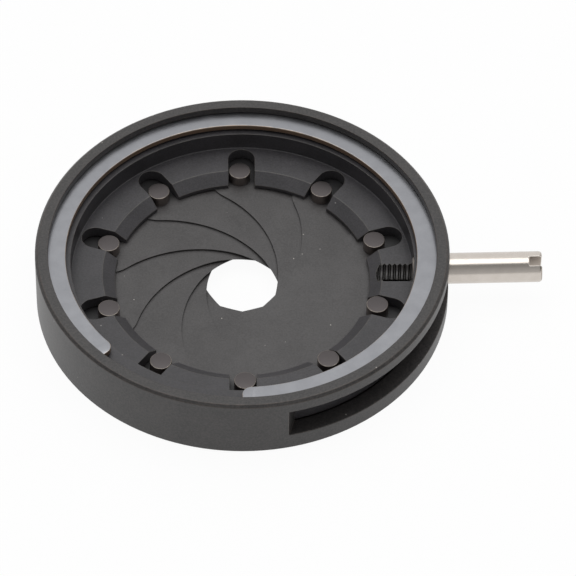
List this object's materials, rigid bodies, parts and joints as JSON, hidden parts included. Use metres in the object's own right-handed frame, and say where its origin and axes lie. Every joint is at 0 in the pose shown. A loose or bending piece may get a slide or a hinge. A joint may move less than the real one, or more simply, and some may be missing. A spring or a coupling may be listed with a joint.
{
  "type": "iris diaphragm",
  "caption": "Round leaf iris diaphragm with a slotted driving ring, a snap ring and a radial lever; the leaves open and close a near-round aperture.",
  "frame": {"origin": "centre of the rear opening at the housing's rear face", "axes": "+Z along the optical axis towards the open front, +X along the lever as drawn"},
  "size_m": [0.049, 0.04, 0.0068],
  "materials": {
    "black_anodised_body": "bead-blasted and black anodised",
    "black_anodised_ring": "turned, bead-blasted and black anodised",
    "stainless_bar": "turned stainless steel",
    "spring_steel_ring": "stamped spring steel, grey phosphate",
    "blackened_leaf": "thin spring steel, matt black",
    "blackened_pin": "blackened brass rivet"
  },
  "bodies": {
    "housing_body": {"housing": "black_anodised_body", "retaining_ring": "spring_steel_ring"},
    "ring_body": {"driving_ring": "black_anodised_ring", "lever": "stainless_bar"},
    "leaf_01_body": {"leaf_01": "blackened_leaf", "slider_pin_01": "blackened_pin", "pivot_pin_01": "blackened_pin"},
    "leaf_02_body": {"leaf_02": "blackened_leaf", "slider_pin_02": "blackened_pin", "pivot_pin_02": "blackened_pin"},
    "leaf_03_body": {"leaf_03": "blackened_leaf", "slider_pin_03": "blackened_pin", "pivot_pin_03": "blackened_pin"},
    "leaf_04_body": {"leaf_04": "blackened_leaf", "slider_pin_04": "blackened_pin", "pivot_pin_04": "blackened_pin"},
    "leaf_05_body": {"leaf_05": "blackened_leaf", "slider_pin_05": "blackened_pin", "pivot_pin_05": "blackened_pin"},
    "leaf_06_body": {"leaf_06": "blackened_leaf", "slider_pin_06": "blackened_pin", "pivot_pin_06": "blackened_pin"},
    "leaf_07_body": {"leaf_07": "blackened_leaf", "slider_pin_07": "blackened_pin", "pivot_pin_07": "blackened_pin"},
    "leaf_08_body": {"leaf_08": "blackened_leaf", "slider_pin_08": "blackened_pin", "pivot_pin_08": "blackened_pin"},
    "leaf_09_body": {"leaf_09": "blackened_leaf", "slider_pin_09": "blackened_pin", "pivot_pin_09": "blackened_pin"},
    "leaf_10_body": {"leaf_10": "blackened_leaf", "slider_pin_10": "blackened_pin", "pivot_pin_10": "blackened_pin"}
  },
  "joints": [
    {"name": "ring_turn", "type": "hinge", "parent": "housing_body", "child": "ring_body", "pos_m": [0, 0, 0.003], "axis": [0, 0, 1], "range_deg": [-68, 18]},
    {"name": "leaf_01_turn", "type": "hinge", "parent": "housing_body", "child": "leaf_01_body", "pos_m": [-0.01461, 0.00205, 0.0005], "axis": [0, 0, 1], "range_deg": [-33.79, 9.09]},
    {"name": "leaf_02_turn", "type": "hinge", "parent": "housing_body", "child": "leaf_02_body", "pos_m": [-0.01302, -0.00692, 0.0005], "axis": [0, 0, 1], "range_deg": [-33.79, 9.09]},
    {"name": "leaf_03_turn", "type": "hinge", "parent": "housing_body", "child": "leaf_03_body", "pos_m": [-0.00647, -0.01326, 0.0005], "axis": [0, 0, 1], "range_deg": [-33.79, 9.09]},
    {"name": "leaf_04_turn", "type": "hinge", "parent": "housing_body", "child": "leaf_04_body", "pos_m": [0.00256, -0.01453, 0.0005], "axis": [0, 0, 1], "range_deg": [-33.79, 9.09]},
    {"name": "leaf_05_turn", "type": "hinge", "parent": "housing_body", "child": "leaf_05_body", "pos_m": [0.01061, -0.01025, 0.0005], "axis": [0, 0, 1], "range_deg": [-33.79, 9.09]},
    {"name": "leaf_06_turn", "type": "hinge", "parent": "housing_body", "child": "leaf_06_body", "pos_m": [0.01461, -0.00205, 0.0005], "axis": [0, 0, 1], "range_deg": [-33.79, 9.09]},
    {"name": "leaf_07_turn", "type": "hinge", "parent": "housing_body", "child": "leaf_07_body", "pos_m": [0.01302, 0.00692, 0.0005], "axis": [0, 0, 1], "range_deg": [-33.79, 9.09]},
    {"name": "leaf_08_turn", "type": "hinge", "parent": "housing_body", "child": "leaf_08_body", "pos_m": [0.00647, 0.01326, 0.0005], "axis": [0, 0, 1], "range_deg": [-33.79, 9.09]},
    {"name": "leaf_09_turn", "type": "hinge", "parent": "housing_body", "child": "leaf_09_body", "pos_m": [-0.00256, 0.01453, 0.0005], "axis": [0, 0, 1], "range_deg": [-33.79, 9.09]},
    {"name": "leaf_10_turn", "type": "hinge", "parent": "housing_body", "child": "leaf_10_body", "pos_m": [-0.01061, 0.01025, 0.0005], "axis": [0, 0, 1], "range_deg": [-33.79, 9.09]}
  ],
  "couplings": [
    {"joint": "leaf_01_turn", "follows": "ring_turn", "ratio": 0.494},
    {"joint": "leaf_02_turn", "follows": "ring_turn", "ratio": 0.494},
    {"joint": "leaf_03_turn", "follows": "ring_turn", "ratio": 0.494},
    {"joint": "leaf_04_turn", "follows": "ring_turn", "ratio": 0.494},
    {"joint": "leaf_05_turn", "follows": "ring_turn", "ratio": 0.494},
    {"joint": "leaf_06_turn", "follows": "ring_turn", "ratio": 0.494},
    {"joint": "leaf_07_turn", "follows": "ring_turn", "ratio": 0.494},
    {"joint": "leaf_08_turn", "follows": "ring_turn", "ratio": 0.494},
    {"joint": "leaf_09_turn", "follows": "ring_turn", "ratio": 0.494},
    {"joint": "leaf_10_turn", "follows": "ring_turn", "ratio": 0.494}
  ]
}
